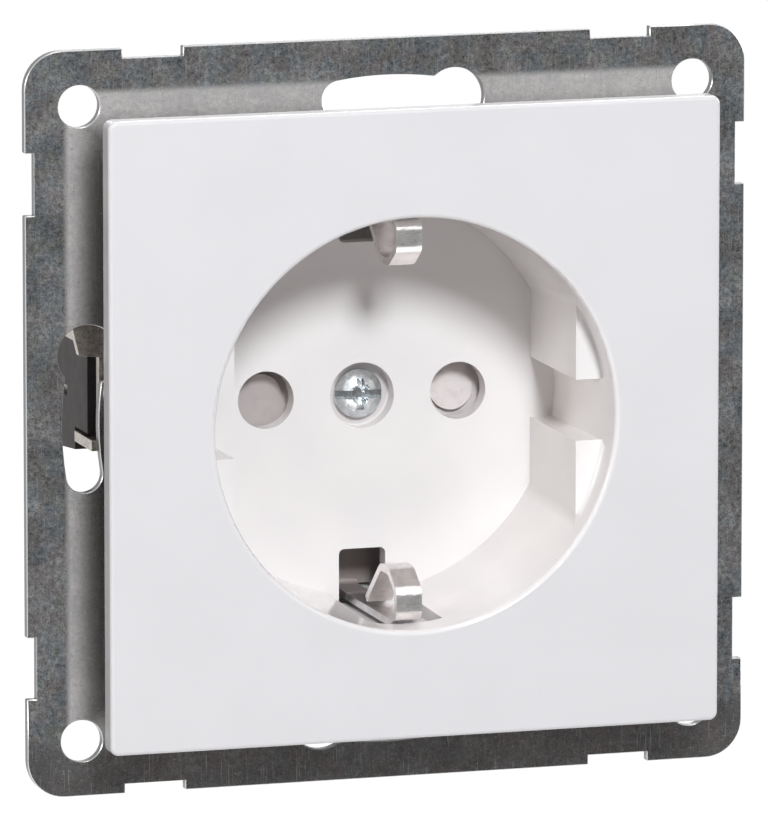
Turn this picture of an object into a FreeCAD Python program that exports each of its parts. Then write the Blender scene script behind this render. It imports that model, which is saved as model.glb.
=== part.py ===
import FreeCAD, Part
import itertools
import math
import os
import Sketcher

# Type F wall socket for a round wall box: galvanised support frame, white centre plate
# with the plug well, earth strap, shutter, contacts, terminals and spreading claws.
# Millimetres. X right, Z up, the room side faces -Y. The origin is the middle of the
# wall plane, which is the back of the frame's rim. The well axis is Y.

doc = FreeCAD.newDocument("type_f_wall_socket")
sizes = doc.addObject("Spreadsheet::Sheet", "sizes")
sheet_rows = itertools.count(1)


class Size:
    """A length or angle: its formula over the sheet's cells and its value as the sheet stands."""

    def __init__(self, formula, now):
        self.formula = formula
        self.now = now

    def __add__(self, other):
        return Size("(%s + %s)" % (self.formula, sized(other).formula), self.now + sized(other).now)

    def __sub__(self, other):
        return Size("(%s - %s)" % (self.formula, sized(other).formula), self.now - sized(other).now)

    def __mul__(self, other):
        return Size("(%s * %s)" % (self.formula, sized(other).formula), self.now * sized(other).now)

    def __truediv__(self, other):
        return Size("(%s / %s)" % (self.formula, sized(other).formula), self.now / sized(other).now)

    def __neg__(self):
        return Size("(0 - %s)" % self.formula, -self.now)


def sized(number):
    """A plain number as a Size; a Size stays as it is."""
    if isinstance(number, Size):
        return number
    return Size(repr(float(number)), float(number))


def cosine(angle):
    return Size("cos(%s)" % angle.formula, math.cos(math.radians(angle.now)))


def sine(angle):
    return Size("sin(%s)" % angle.formula, math.sin(math.radians(angle.now)))


def cell(alias, number):
    """Put one driving size into the sheet and return it for use in formulas."""
    row = next(sheet_rows)
    sizes.set("A%d" % row, alias.replace("_", " "))
    sizes.set("B%d" % row, str(number))
    sizes.setAlias("B%d" % row, alias)
    return Size("sizes." + alias, float(number))


# Driving sizes of the support frame
frame_side = cell("frame_side", 70.5)
frame_corner = cell("frame_corner", 3.6)
sheet_wall = cell("sheet_wall", 1.0)
corner_hole_inset = cell("corner_hole_inset", 5.25)
corner_hole_bore = cell("corner_hole_bore", 4.0)
notch_length = cell("notch_length", 5.85)
notch_depth = cell("notch_depth", 0.9)
notch_inset = cell("notch_inset", 12.4)
slot_inset = cell("slot_inset", 5.25)
slot_width = cell("slot_width", 3.5)
slot_tail_angle = cell("slot_tail_angle", 9.0)
slot_lead_angle = cell("slot_lead_angle", 12.6)
keyhole_bore = cell("keyhole_bore", 5.8)
opening_clear = cell("opening_clear", 0.6)

# Driving sizes of the centre plate and its plug well
plate_side = cell("plate_side", 59.5)
plate_corner = cell("plate_corner", 0.8)
plate_edge = cell("plate_edge", 0.4)
plate_wall = cell("plate_wall", 2.0)
plate_rise = cell("plate_rise", 9.2)
well_bore = cell("well_bore", 39.0)
well_floor_bore = cell("well_floor_bore", 38.2)
well_depth = cell("well_depth", 17.5)
well_wall = cell("well_wall", 1.5)
floor_wall = cell("floor_wall", 1.8)
mouth_round = cell("mouth_round", 0.5)
cheek_gap = cell("cheek_gap", 33.4)
cheek_drop = cell("cheek_drop", 3.5)
cheek_groove = cell("cheek_groove", 5.8)
pin_pitch = cell("pin_pitch", 19.0)
pin_bore = cell("pin_bore", 5.5)
clip_slot_width = cell("clip_slot_width", 4.6)
clip_slot_start = cell("clip_slot_start", 14.7)
clip_window_width = cell("clip_window_width", 7.2)
clip_window_drop = cell("clip_window_drop", 3.6)
clip_slot_corner = cell("clip_slot_corner", 0.55)
pocket_wall = cell("pocket_wall", 0.75)
boss_width = cell("boss_width", 8.4)
gusset_reach = cell("gusset_reach", 25.0)
gusset_wall = cell("gusset_wall", 1.5)
gusset_angle = cell("gusset_angle", 22.5)

# Driving sizes of the cover screw
cover_head = cell("cover_head", 4.7)
cover_head_height = cell("cover_head_height", 1.5)
cover_head_sink = cell("cover_head_sink", 0.2)
cover_dome = cell("cover_dome", 3.4)
cover_recess_depth = cell("cover_recess_depth", 1.1)
cover_core = cell("cover_core", 1.9)
cover_core_end = cell("cover_core_end", 1.0)
cover_counterbore = cell("cover_counterbore", 6.3)
cover_thread = cell("cover_thread", 2.9)
cover_thread_end = cell("cover_thread_end", 3.6)
recess_wall = cell("recess_wall", 0.75)
recess_depth = cell("recess_depth", 0.8)
cross_reach = cell("cross_reach", 3.0)
thread_clear = cell("thread_clear", 0.1)
screw_clear = cell("screw_clear", 0.25)

# Driving sizes of the shutter, its spring and its retainer
shutter_play = cell("shutter_play", 0.25)
shutter_wall = cell("shutter_wall", 2.3)
blade_drop = cell("blade_drop", 0.55)
pad_width = cell("pad_width", 4.4)
pad_ramp = cell("pad_ramp", 0.9)
blade_width = cell("blade_width", 6.8)
blade_reach = cell("blade_reach", 13.0)
hub_width = cell("hub_width", 13.6)
hub_clear = cell("hub_clear", 0.3)
spring_recess_width = cell("spring_recess_width", 12.2)
spring_recess_depth = cell("spring_recess_depth", 1.4)
spring_wire = cell("spring_wire", 0.4)
spring_turns = cell("spring_turns", 2.0)
spring_slack = cell("spring_slack", 0.1)
retainer_width = cell("retainer_width", 27.2)
retainer_wall = cell("retainer_wall", 1.2)
retainer_pin_bore = cell("retainer_pin_bore", 6.0)
stake_circle = cell("stake_circle", 23.0)
stake_width = cell("stake_width", 2.8)
stake_peg = cell("stake_peg", 1.4)

# Driving sizes of the earth strap and its clips
strip_width = cell("strip_width", 2.5)
strip_wall = cell("strip_wall", 0.7)
strip_bend = cell("strip_bend", 0.9)
crest_bend = cell("crest_bend", 1.6)
clip_crest = cell("clip_crest", 14.3)
clip_crest_length = cell("clip_crest_length", 2.4)
clip_crest_drop = cell("clip_crest_drop", 5.2)
clip_nose_drop = cell("clip_nose_drop", 2.45)
clip_nose_inset = cell("clip_nose_inset", 1.0)
clip_nose_width = cell("clip_nose_width", 2.25)
clip_leg = cell("clip_leg", 19.5)
clip_free_end = cell("clip_free_end", 12.2)
clip_free_gap = cell("clip_free_gap", 0.25)
spine_width = cell("spine_width", 8.0)
bush_width = cell("bush_width", 4.2)
bush_length = cell("bush_length", 2.0)
earth_tail_width = cell("earth_tail_width", 5.0)

# Driving sizes of the insulating base and the disc over its contacts
base_width = cell("base_width", 50.0)
base_flat = cell("base_flat", 45.6)
bowl_clear = cell("bowl_clear", 0.5)
contact_cover_wall = cell("contact_cover_wall", 1.2)
contact_cover_clear = cell("contact_cover_clear", 0.3)
block_width = cell("block_width", 32.0)
block_height = cell("block_height", 41.6)
block_corner = cell("block_corner", 3.0)
rear_wall = cell("rear_wall", 2.8)
ear_lead = cell("ear_lead", 1.0)
ear_angle = cell("ear_angle", 45.0)
ear_width = cell("ear_width", 6.4)
ear_depth = cell("ear_depth", 6.7)
chamber_clear = cell("chamber_clear", 0.3)
core_wall = cell("core_wall", 1.6)
core_depth = cell("core_depth", 11.0)

# Driving sizes of the contacts, terminals and their screws
pin_width = cell("pin_width", 4.8)
pin_length = cell("pin_length", 19.0)
pin_end_clear = cell("pin_end_clear", 0.5)
contact_wall = cell("contact_wall", 0.8)
contact_width = cell("contact_width", 6.0)
contact_clear = cell("contact_clear", 0.15)
contact_flare = cell("contact_flare", 1.3)
contact_flare_length = cell("contact_flare_length", 4.0)
terminal_width = cell("terminal_width", 8.0)
terminal_depth = cell("terminal_depth", 7.0)
terminal_height = cell("terminal_height", 8.0)
terminal_start = cell("terminal_start", 10.8)
terminal_lap = cell("terminal_lap", 2.4)
wire_bore = cell("wire_bore", 3.2)
wire_middle = cell("wire_middle", 15.6)
wire_funnel = cell("wire_funnel", 1.0)
clamp_thread = cell("clamp_thread", 3.0)
clamp_head = cell("clamp_head", 5.2)
clamp_head_height = cell("clamp_head_height", 1.4)
clamp_lift = cell("clamp_lift", 0.4)

# Driving sizes of the claws, their brackets and screws, and of the rivets
claw_pivot = cell("claw_pivot", 27.6)
claw_pivot_depth = cell("claw_pivot_depth", 3.2)
claw_middle = cell("claw_middle", 2.9)
claw_width = cell("claw_width", 8.8)
claw_wall = cell("claw_wall", 1.5)
claw_length = cell("claw_length", 17.0)
claw_tip = cell("claw_tip", 2.6)
claw_tip_flare = cell("claw_tip_flare", 0.6)
claw_shoulder_gap = cell("claw_shoulder_gap", 0.9)
claw_spread = cell("claw_spread", 2.15)
claw_tip_spread = cell("claw_tip_spread", 3.4)
claw_slit = cell("claw_slit", 0.9)
claw_slit_length = cell("claw_slit_length", 10.7)
claw_heel = cell("claw_heel", 4.0)
tooth_pitch = cell("tooth_pitch", 2.8)
tooth_gap = cell("tooth_gap", 1.9)
trunnion_width = cell("trunnion_width", 1.4)
trunnion_clear = cell("trunnion_clear", 0.08)
bracket_clear = cell("bracket_clear", 0.2)
bracket_inner = cell("bracket_inner", 23.2)
bracket_outer = cell("bracket_outer", 27.9)
bracket_reach = cell("bracket_reach", 29.8)
bracket_depth = cell("bracket_depth", 5.9)
lug_reach = cell("lug_reach", 30.6)
lug_knee = cell("lug_knee", 29.8)
lug_knee_drop = cell("lug_knee_drop", 2.1)
lug_drop = cell("lug_drop", 2.9)
lug_rise = cell("lug_rise", 1.2)
claw_screw_offset = cell("claw_screw_offset", 25.2)
claw_screw_width = cell("claw_screw_width", 3.0)
claw_screw_head = cell("claw_screw_head", 5.4)
claw_screw_head_height = cell("claw_screw_head_height", 1.8)
claw_screw_gap = cell("claw_screw_gap", 0.05)
rivet_width = cell("rivet_width", 2.4)
rivet_head = cell("rivet_head", 4.4)
rivet_head_height = cell("rivet_head_height", 0.8)
rivet_clear = cell("rivet_clear", 0.1)

# How far a cutting shape runs past the faces that it opens
overrun = cell("overrun", 1.0)
doc.recompute()

# Levels along the well axis, from the room to the back of the box
sheet_front = -sheet_wall
plate_front = -(sheet_wall + plate_rise)
plate_back = plate_front + plate_wall
cheek_front = plate_front + cheek_drop
window_front = plate_front + clip_window_drop
floor_front = plate_front + well_depth
floor_back = floor_front + floor_wall
head_front = floor_front + cover_head_sink
head_back = head_front + cover_head_height
shutter_front = floor_back + shutter_play
shutter_back = shutter_front + shutter_wall
retainer_front = shutter_back + shutter_play
retainer_back = retainer_front + retainer_wall
spine_back = retainer_back + strip_wall
bowl_floor = spine_back + contact_cover_wall
fork_end = floor_front + pin_length + pin_end_clear
fork_back = fork_end + contact_wall
chamber_back = fork_back + chamber_clear
base_back = chamber_back + rear_wall
terminal_front = fork_end - terminal_depth
well_outer = well_bore / 2 + well_wall
pin_offset = pin_pitch / 2
terminal_end = terminal_start + terminal_height

ROOM_AXIS = FreeCAD.Vector(0, 1, 0)
ALONG = {
    "x": FreeCAD.Rotation(FreeCAD.Vector(0, 1, 0), 90),
    "y": FreeCAD.Rotation(FreeCAD.Vector(1, 0, 0), -90),
    "z": FreeCAD.Rotation(),
}
QUARTERS = (0, 90, 180, 270)
HALVES = (0, 180)
TOOTH_STEPS = (-1, 0, 1)
TINY = 1e-6


def tie(thing, prop, size):
    """Bind one property of a document object to a size."""
    thing.setExpression(prop, sized(size).formula)


def place(thing, x, y, z):
    for axis, size in zip("xyz", (x, y, z)):
        tie(thing, "Placement.Base." + axis, size)


def block(name, x, y, z):
    """A box given by its low and high side along each axis."""
    box = doc.addObject("Part::Box", name)
    for prop, (low, high) in zip(("Length", "Width", "Height"), (x, y, z)):
        tie(box, prop, sized(high) - low)
    place(box, x[0], y[0], z[0])
    return box


def rod(name, axis, centre, span, width, far_width=None):
    """A round bar along one axis, or a cone where its far end has a width of its own."""
    kind = "Part::Cylinder" if far_width is None else "Part::Cone"
    bar = doc.addObject(kind, name)
    bar.Placement.Rotation = ALONG[axis]
    tie(bar, "Height", sized(span[1]) - span[0])
    if far_width is None:
        tie(bar, "Radius", width / 2)
    else:
        tie(bar, "Radius1", width / 2)
        tie(bar, "Radius2", far_width / 2)
    spot = list(centre)
    spot.insert("xyz".index(axis), span[0])
    place(bar, *spot)
    return bar


def fuse(name, *pieces):
    joined = doc.addObject("Part::MultiFuse", name)
    joined.Shapes = list(pieces)
    joined.Refine = True
    return joined


def cut(name, base, *tools):
    result = doc.addObject("Part::Cut", name)
    result.Base = base
    result.Tool = tools[0] if len(tools) == 1 else fuse(name + "_tools", *tools)
    result.Refine = True
    return result


def overlap(name, *pieces):
    shared = doc.addObject("Part::MultiCommon", name)
    shared.Shapes = list(pieces)
    shared.Refine = True
    return shared


def turned(name, piece, angle):
    """The same piece turned about the well axis, clockwise as seen from the room."""
    copy = doc.addObject("Part::Compound", name)
    copy.Links = [piece]
    copy.Placement.Rotation = FreeCAD.Rotation(ROOM_AXIS, 1)
    tie(copy, "Placement.Rotation.Angle", angle)
    return copy


def shifted(name, piece, x, y=0, z=0):
    copy = doc.addObject("Part::Compound", name)
    copy.Links = [piece]
    place(copy, x, y, z)
    return copy


def ring_of(name, piece, angles=QUARTERS):
    """Copies of a piece around the well axis."""
    return [turned("%s_%d" % (name, index), piece, angle) for index, angle in enumerate(angles)]


def sketch_on(body, name, plane, lift):
    """An empty sketch on one of the body's own planes, or lifted off it."""
    sketch = body.newObject("Sketcher::SketchObject", name)
    support = [part for part in body.Origin.OriginFeatures if part.Role == plane][0]
    sketch.AttachmentSupport = [(support, "")]
    sketch.MapMode = "FlatFace"
    tie(sketch, "AttachmentOffset.Base.z", lift)
    return sketch


def round_outline(body, name, plane, width, lift=0):
    """A sketch of one circle about the well axis."""
    sketch = sketch_on(body, name, plane, lift)
    up = FreeCAD.Vector(0, 0, 1)
    sketch.addGeometry(Part.Circle(FreeCAD.Vector(), up, width.now / 2), False)
    sketch.addConstraint(Sketcher.Constraint("Coincident", 0, 3, -1, 1))
    number = sketch.addConstraint(Sketcher.Constraint("Diameter", 0, width.now))
    tie(sketch, "Constraints[%d]" % number, width)
    return sketch


def outline(body, name, plane, corners, lift=0):
    """A closed sketch of straight sides, with every corner tied to two sizes."""
    sketch = sketch_on(body, name, plane, lift)
    count = len(corners)
    spots = [FreeCAD.Vector(sized(u).now, sized(v).now, 0) for u, v in corners]
    for index in range(count):
        sketch.addGeometry(Part.LineSegment(spots[index], spots[(index + 1) % count]), False)
    for index in range(count):
        sketch.addConstraint(Sketcher.Constraint("Coincident", index, 2, (index + 1) % count, 1))
    for index, corner in enumerate(corners):
        for kind, size in zip(("DistanceX", "DistanceY"), corner):
            held = Sketcher.Constraint(kind, -1, 1, index, 1, sized(size).now)
            number = sketch.addConstraint(held)
            tie(sketch, "Constraints[%d]" % number, size)
    return sketch


def square(side):
    """Corners of a square about the well axis."""
    half = side / 2
    return [(-half, -half), (half, -half), (half, half), (-half, half)]


def feature(body, kind, name, sketch, length, symmetric=False):
    """Pad or pocket a sketch of the body."""
    made = body.newObject("PartDesign::" + kind, name)
    made.Profile = sketch
    made.SideType = "Symmetric" if symmetric else "One side"
    tie(made, "Length", length)
    return made


def bar_of(name, plane, corners, width, middle=0):
    """A body with one outline padded to both sides of its plane, or of a plane beside it."""
    body = doc.addObject("PartDesign::Body", name)
    sketch = outline(body, name + "_outline", plane, corners, lift=middle)
    feature(body, "Pad", name + "_pad", sketch, width, symmetric=True)
    return body


def bent_path(body, name, plane, corners):
    """An open sketch through tied corners, with an arc of the corner's own radius at each bend."""
    sketch = sketch_on(body, name, plane, 0)

    def hold(kind, size, *ends):
        number = sketch.addConstraint(Sketcher.Constraint(kind, *ends, sized(size).now))
        tie(sketch, "Constraints[%d]" % number, size)

    spots = [FreeCAD.Vector(corner[0].now, sized(corner[1]).now, 0) for corner in corners]
    starts = [spots[0]]
    ends = []
    arcs = []
    for before, here, after, corner in zip(spots, spots[1:], spots[2:], corners[1:]):
        back = (before - here).normalize()
        ahead = (after - here).normalize()
        half_angle = back.getAngle(ahead) / 2
        radius = corner[2].now
        run = radius / math.tan(half_angle)
        middle = here + (back + ahead).normalize() * (radius / math.sin(half_angle))
        ends.append(here + back * run)
        starts.append(here + ahead * run)
        leftward = back.cross(ahead).z < 0
        first, last = (ends[-1], starts[-1]) if leftward else (starts[-1], ends[-1])
        first_angle = math.atan2(first.y - middle.y, first.x - middle.x)
        last_angle = math.atan2(last.y - middle.y, last.x - middle.x)
        circle = Part.Circle(middle, FreeCAD.Vector(0, 0, 1), radius)
        arcs.append((Part.ArcOfCircle(circle, first_angle, last_angle), leftward))
    ends.append(spots[-1])
    lines = [sketch.addGeometry(Part.LineSegment(*pair), False) for pair in zip(starts, ends)]
    for axis, kind in enumerate(("DistanceX", "DistanceY")):
        hold(kind, corners[0][axis], -1, 1, lines[0], 1)
        hold(kind, corners[-1][axis], -1, 1, lines[-1], 2)
    for number, (arc, leftward) in enumerate(arcs, start=1):
        spot, corner = spots[number], corners[number]
        incoming, outgoing = lines[number - 1], lines[number]
        bend = sketch.addGeometry(arc, False)
        point = sketch.addGeometry(Part.Point(spot), True)
        near, far = (1, 2) if leftward else (2, 1)
        sketch.addConstraint(Sketcher.Constraint("Tangent", incoming, 2, bend, near))
        sketch.addConstraint(Sketcher.Constraint("Tangent", outgoing, 1, bend, far))
        sketch.addConstraint(Sketcher.Constraint("PointOnObject", point, 1, incoming))
        sketch.addConstraint(Sketcher.Constraint("PointOnObject", point, 1, outgoing))
        hold("DistanceX", corner[0], -1, 1, point, 1)
        hold("DistanceY", corner[1], -1, 1, point, 1)
        hold("Radius", corner[2], bend)
    return sketch


def bent_strip(name, width, wall, corners):
    """A flat strip bent in the plane across X, along a path that leaves the plane of the axes."""
    body = doc.addObject("PartDesign::Body", name)
    path = bent_path(body, name + "_path", "YZ_Plane", corners)
    front = corners[0][0] - wall / 2
    back = corners[0][0] + wall / 2
    half = width / 2
    section = outline(
        body, name + "_section", "XY_Plane", [(-half, front), (half, front), (half, back), (-half, back)]
    )
    strip = body.newObject("PartDesign::AdditivePipe", name + "_strip")
    strip.Profile = section
    strip.Spine = path
    return body


def edges_where(made, test):
    """Names of the edges of a feature that pass a test."""
    return ["Edge%d" % number for number, edge in enumerate(made.Shape.Edges, start=1) if test(edge)]


def along_well(edge):
    return edge.BoundBox.XLength + edge.BoundBox.ZLength < TINY


def rounded(body, name, made, test, radius):
    """Round the edges of the last feature of a body that pass a test."""
    doc.recompute()
    fillet = body.newObject("PartDesign::Fillet", name)
    fillet.Base = (made, edges_where(made, test))
    tie(fillet, "Radius", radius)
    return fillet


nodes = {}


def node(label, piece):
    """Name a finished sub-part."""
    piece.Label = label
    nodes[label] = piece


# Support frame: flat pressed sheet with holes, notches and keyhole slots
frame_sheet = doc.addObject("PartDesign::Body", "frame_sheet")
sheet_sketch = outline(frame_sheet, "sheet_outline", "XZ_Plane", square(frame_side))
sheet_pad = feature(frame_sheet, "Pad", "sheet_pad", sheet_sketch, sheet_wall)
rounded(frame_sheet, "sheet_corners", sheet_pad, along_well, frame_corner)

through_frame = (sheet_front - overrun, sheet_wall + overrun)
frame_opening = rod("frame_opening", "y", (0, 0), through_frame, (well_outer + opening_clear) * 2)
corner_spot = frame_side / 2 - corner_hole_inset
corner_hole = rod("corner_hole", "y", (corner_spot, corner_spot), through_frame, corner_hole_bore)
notch_x = (frame_side / 2 - notch_depth, frame_side / 2 + overrun)
notch_middle = frame_side / 2 - notch_inset
notch_z = (notch_middle - notch_length / 2, notch_middle + notch_length / 2)
edge_notches = fuse(
    "edge_notches",
    block("upper_notch", notch_x, through_frame, notch_z),
    block("lower_notch", notch_x, through_frame, (-notch_z[1], -notch_z[0])),
)
slot_reach = frame_side / 2 - slot_inset
slot_sweep = rod("slot_sweep", "y", (0, 0), through_frame, slot_reach * 2 + slot_width)
tie(slot_sweep, "Angle", slot_tail_angle + slot_lead_angle)
slot_core = rod("slot_core", "y", (0, 0), through_frame, slot_reach * 2 - slot_width)
slot_arc = turned("slot_arc", cut("slot_band", slot_sweep, slot_core), -slot_tail_angle)
tail_spot = (slot_reach * cosine(slot_tail_angle), slot_reach * sine(slot_tail_angle))
lead_spot = (slot_reach * cosine(slot_lead_angle), -(slot_reach * sine(slot_lead_angle)))
keyhole_slot = fuse(
    "keyhole_slot",
    slot_arc,
    rod("slot_round", "y", tail_spot, through_frame, slot_width),
    rod("keyhole", "y", lead_spot, through_frame, keyhole_bore),
)
ear_spot = (base_width / 2 + ear_lead) * cosine(ear_angle)
rivet_bore = rivet_width + rivet_clear * 2
rivet_hole = rod("rivet_hole", "y", (ear_spot, ear_spot), through_frame, rivet_bore)
claw_screw_spot = (-claw_screw_offset, claw_middle)
claw_screw_bore = claw_screw_width + thread_clear * 2
claw_screw_hole = rod("claw_screw_hole", "y", claw_screw_spot, through_frame, claw_screw_bore)
node("support_frame", cut(
    "pressed_frame",
    frame_sheet,
    frame_opening,
    *ring_of("corner_hole", corner_hole),
    *ring_of("edge_notches", edge_notches),
    *ring_of("keyhole_slot", keyhole_slot),
    *ring_of("rivet_hole", rivet_hole),
    *ring_of("claw_screw_hole", claw_screw_hole, HALVES),
))

# Centre plate: flat square face, well with two grooved cheeks, floor, boss and gussets
plate_body = doc.addObject("PartDesign::Body", "plate_face")
face_sketch = outline(plate_body, "face_outline", "XZ_Plane", square(plate_side), -plate_back)
face_pad = feature(plate_body, "Pad", "face_slab", face_sketch, plate_wall)
face_corners = rounded(plate_body, "face_corners", face_pad, along_well, plate_corner)


def on_front(edge):
    return edge.BoundBox.YLength < TINY and abs(edge.BoundBox.YMin - plate_front.now) < TINY


rounded(plate_body, "face_edge", face_corners, on_front, plate_edge)
mouth_sketch = round_outline(plate_body, "mouth_outline", "XZ_Plane", well_bore, -plate_front)
mouth = feature(plate_body, "Pocket", "mouth", mouth_sketch, plate_wall)


def round_mouth(edge):
    return on_front(edge) and edge.isClosed()


rounded(plate_body, "mouth_lip", mouth, round_mouth, mouth_round)

well_room = doc.addObject("PartDesign::Body", "well_room")
room_sketch = outline(well_room, "room_outline", "XY_Plane", [
    (0, plate_back - overrun),
    (well_bore / 2, plate_back - overrun),
    (well_bore / 2, plate_back),
    (well_floor_bore / 2, floor_front),
    (0, floor_front),
])
room_turn = well_room.newObject("PartDesign::Revolution", "room_turn")
room_turn.Profile = room_sketch
room_turn.ReferenceAxis = (room_sketch, ["V_Axis"])
room_turn.Angle = 360

wide = well_outer + overrun
cheek_half = cheek_gap / 2
mouth_slab = block("mouth_slab", (-wide, wide), (plate_back - overrun, cheek_front), (-wide, wide))
between_cheeks = block("between_cheeks", (-cheek_half, cheek_half), (cheek_front, floor_front), (-wide, wide))
groove_half = cheek_groove / 2
cheek_grooves = block("cheek_grooves", (-wide, wide), (cheek_front, floor_front), (-groove_half, groove_half))
plug_room = overlap("plug_room", well_room, fuse("plug_slabs", mouth_slab, between_cheeks, cheek_grooves))

window_half = clip_window_width / 2
slot_half = clip_slot_width / 2
pocket_floor = well_outer - pocket_wall
clip_window = block(
    "clip_window", (-window_half, window_half), (window_front, floor_front), (clip_crest, pocket_floor)
)
clip_slot = doc.addObject("PartDesign::Body", "clip_slot")
slot_outline = outline(
    clip_slot, "clip_slot_outline", "XZ_Plane",
    [
        (-slot_half, clip_slot_start),
        (slot_half, clip_slot_start),
        (slot_half, pocket_floor),
        (-slot_half, pocket_floor),
    ],
    -(floor_back + overrun),
)
slot_pad = feature(clip_slot, "Pad", "clip_slot_pad", slot_outline, floor_wall + overrun * 2)
rounded(clip_slot, "clip_slot_corners", slot_pad, along_well, clip_slot_corner)
through_floor = (floor_front - overrun, retainer_front + overrun)
pin_hole = rod("pin_hole", "y", (pin_offset, 0), through_floor, pin_bore)
counterbore = rod("counterbore", "y", (0, 0), (floor_front - overrun, head_back), cover_counterbore)
cover_hole = rod("cover_hole", "y", (0, 0), through_floor, cover_thread + screw_clear * 2)
gusset = block(
    "gusset", (well_bore / 2 + well_wall / 2, gusset_reach), (plate_back, sheet_front),
    (-(gusset_wall / 2), gusset_wall / 2),
)
stake_spot = stake_circle / 2
stake = fuse(
    "stake",
    rod("stake_post", "y", (0, stake_spot), (floor_back, retainer_front), stake_width),
    rod("stake_peg", "y", (0, stake_spot), (floor_back, retainer_back), stake_peg),
)
plate_moulding = fuse(
    "plate_moulding",
    plate_body,
    rod("well_shell", "y", (0, 0), (plate_back, floor_back), well_outer * 2),
    rod("floor_boss", "y", (0, 0), (floor_back, retainer_front), boss_width),
    *ring_of("stake", stake, HALVES),
    *ring_of("gusset", gusset, [gusset_angle + quarter for quarter in QUARTERS]),
)
node("centre_plate", cut(
    "moulded_plate",
    plate_moulding,
    plug_room,
    counterbore,
    cover_hole,
    *ring_of("clip_window", clip_window, HALVES),
    *ring_of("clip_slot", clip_slot, HALVES),
    *ring_of("pin_hole", pin_hole, HALVES),
))

# Cover screw: domed head with a full slot, a cross recess and a tapered core
recess_half = recess_wall / 2
recess_level = (head_front - overrun, head_front + cover_recess_depth)
cross_half = cross_reach / 2
dome_ball = doc.addObject("Part::Sphere", "dome_ball")
tie(dome_ball, "Radius", cover_dome)
place(dome_ball, 0, head_front + cover_dome, 0)
node("cover_screw", cut(
    "recessed_screw",
    fuse(
        "plain_screw",
        overlap(
            "cover_screw_head",
            rod("cover_screw_pan", "y", (0, 0), (head_front, head_back), cover_head),
            dome_ball,
        ),
        rod("cover_screw_shank", "y", (0, 0), (head_back, spine_back + cover_thread_end), cover_thread),
    ),
    block("driver_slot", (-cover_head, cover_head), recess_level, (-recess_half, recess_half)),
    block("driver_cross", (-recess_half, recess_half), recess_level, (-cross_half, cross_half)),
    rod("driver_core", "y", (0, 0), (head_front, head_back), cover_core, cover_core_end),
))

# Shutter: hub on the floor boss and two blades that run out from its axis and close the pin
# holes, each with a round ramped pad that a pin pushes aside
hub_bore = boss_width + hub_clear * 2
blade_half = blade_width / 2
blade_y = (shutter_front + blade_drop, shutter_back)
pad_half = pad_width / 2
pad_wedge = bar_of(
    "pad_wedge", "YZ_Plane",
    [
        (shutter_front, -pad_half),
        (shutter_back, -pad_half),
        (shutter_back, pad_half),
        (shutter_front + pad_ramp, pad_half),
    ],
    pad_width,
    middle=pin_offset,
)
pad_round = rod("pad_round", "y", (pin_offset, 0), (shutter_front, shutter_back), pad_width)
blade = fuse(
    "blade",
    block("blade_plate", (0, blade_reach), blade_y, (-blade_half, blade_half)),
    overlap("ramped_pad", pad_wedge, pad_round),
)
hub = rod("hub", "y", (0, 0), (shutter_front, shutter_back), hub_width)
spring_level = shutter_back - spring_recess_depth
node("shutter", cut(
    "moulded_shutter",
    fuse("shutter_blank", hub, *ring_of("blade", blade, HALVES)),
    rod("hub_hole", "y", (0, 0), (shutter_front - overrun, shutter_back + overrun), hub_bore),
    rod("spring_recess", "y", (0, 0), (spring_level, shutter_back + overrun), spring_recess_width),
))

# Shutter spring: torsion coil of square wire round the boss, in the back of the hub
coil_mean = (hub_bore + spring_recess_width) / 4
coil_pitch = (spring_recess_depth - spring_wire - spring_slack) / spring_turns
coil_path = doc.addObject("Part::Helix", "coil_path")
coil_path.Placement.Rotation = ALONG["y"]
tie(coil_path, "Radius", coil_mean)
tie(coil_path, "Pitch", coil_pitch)
tie(coil_path, "Height", coil_pitch * spring_turns)
place(coil_path, 0, spring_level + spring_wire / 2, 0)
coil_section = doc.addObject("Part::RegularPolygon", "coil_section")
coil_section.Polygon = 4
tie(coil_section, "Circumradius", spring_wire / 2)
place(coil_section, coil_mean, spring_level + spring_wire / 2, 0)
coil = doc.addObject("Part::Sweep", "coil")
coil.Sections = [coil_section]
coil.Spine = (coil_path, ["Edge1"])
coil.Solid = True
coil.Frenet = True
node("shutter_spring", coil)

# Shutter retainer: disc staked to the back of the well floor
retainer_span = (retainer_front - overrun, retainer_back + overrun)
retainer_pin_hole = rod("retainer_pin_hole", "y", (pin_offset, 0), retainer_span, retainer_pin_bore)
peg_hole = rod("peg_hole", "y", (0, stake_spot), retainer_span, stake_peg + thread_clear)
node("shutter_retainer", cut(
    "drilled_retainer",
    rod("retainer_disc", "y", (0, 0), (retainer_front, retainer_back), retainer_width),
    rod("retainer_screw_hole", "y", (0, 0), retainer_span, cover_thread + screw_clear * 2),
    *ring_of("retainer_pin_hole", retainer_pin_hole, HALVES),
    *ring_of("peg_hole", peg_hole, HALVES),
))


# Earth strap: one bent strip with a folded clip at each end and a wider spine between them
half_strip = strip_wall / 2
crest_line = clip_crest + half_strip
nose_outer = clip_leg - clip_nose_inset
nose_inner = nose_outer - clip_nose_width
free_line = clip_leg - strip_wall - clip_free_gap
crest_start = plate_front + clip_crest_drop
crest_end = crest_start + clip_crest_length
nose_line = plate_front + clip_nose_drop + half_strip
spine_line = retainer_back + half_strip
lower_clip = bent_strip("lower_clip", strip_width, strip_wall, [
    (spine_line, 0),
    (spine_line, -clip_leg, strip_bend),
    (crest_start, -clip_leg, strip_bend),
    (nose_line, -nose_outer, strip_bend),
    (nose_line, -nose_inner, strip_bend),
    (crest_start, -crest_line, crest_bend),
    (crest_end, -crest_line, crest_bend),
    (plate_front + clip_free_end, -free_line),
])

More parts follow.
